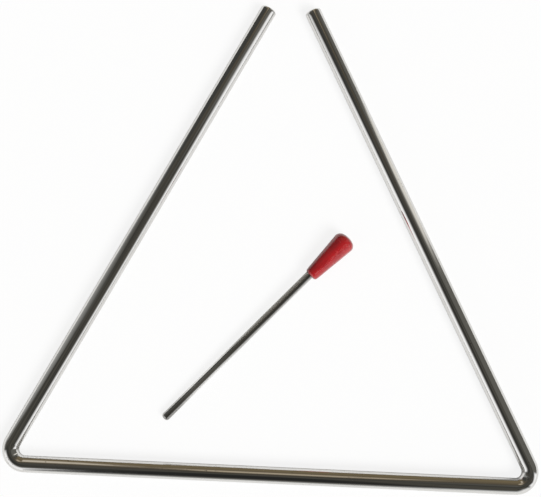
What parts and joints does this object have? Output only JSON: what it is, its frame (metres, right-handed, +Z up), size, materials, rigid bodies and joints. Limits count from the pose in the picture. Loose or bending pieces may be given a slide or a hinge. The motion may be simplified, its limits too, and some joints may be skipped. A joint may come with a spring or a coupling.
{
  "type": "triangle instrument",
  "caption": "Triangle bent from round plated steel rod with an open corner, struck with a straight steel beater that has a tapered red plastic grip.",
  "frame": {"origin": "on the floor below the middle of the outline, with the triangle lying flat", "axes": "+X along the base bar, +Y from the base bar to the open corner, +Z up from the floor"},
  "size_m": [0.255, 0.233, 0.0107],
  "materials": {
    "plated_rod": "polished plating",
    "bright_wire": "bright drawn wire",
    "red_plastic": "glossy moulded"
  },
  "bodies": {
    "triangle": {"triangle_rod": "plated_rod"},
    "beater": {"beater_rod": "bright_wire", "beater_grip": "red_plastic"}
  },
  "joints": [
    {"name": "beater_lift", "type": "slide", "parent": "triangle", "child": "beater", "axis": [0, 0, 1], "range_m": [0, 0.1]}
  ]
}
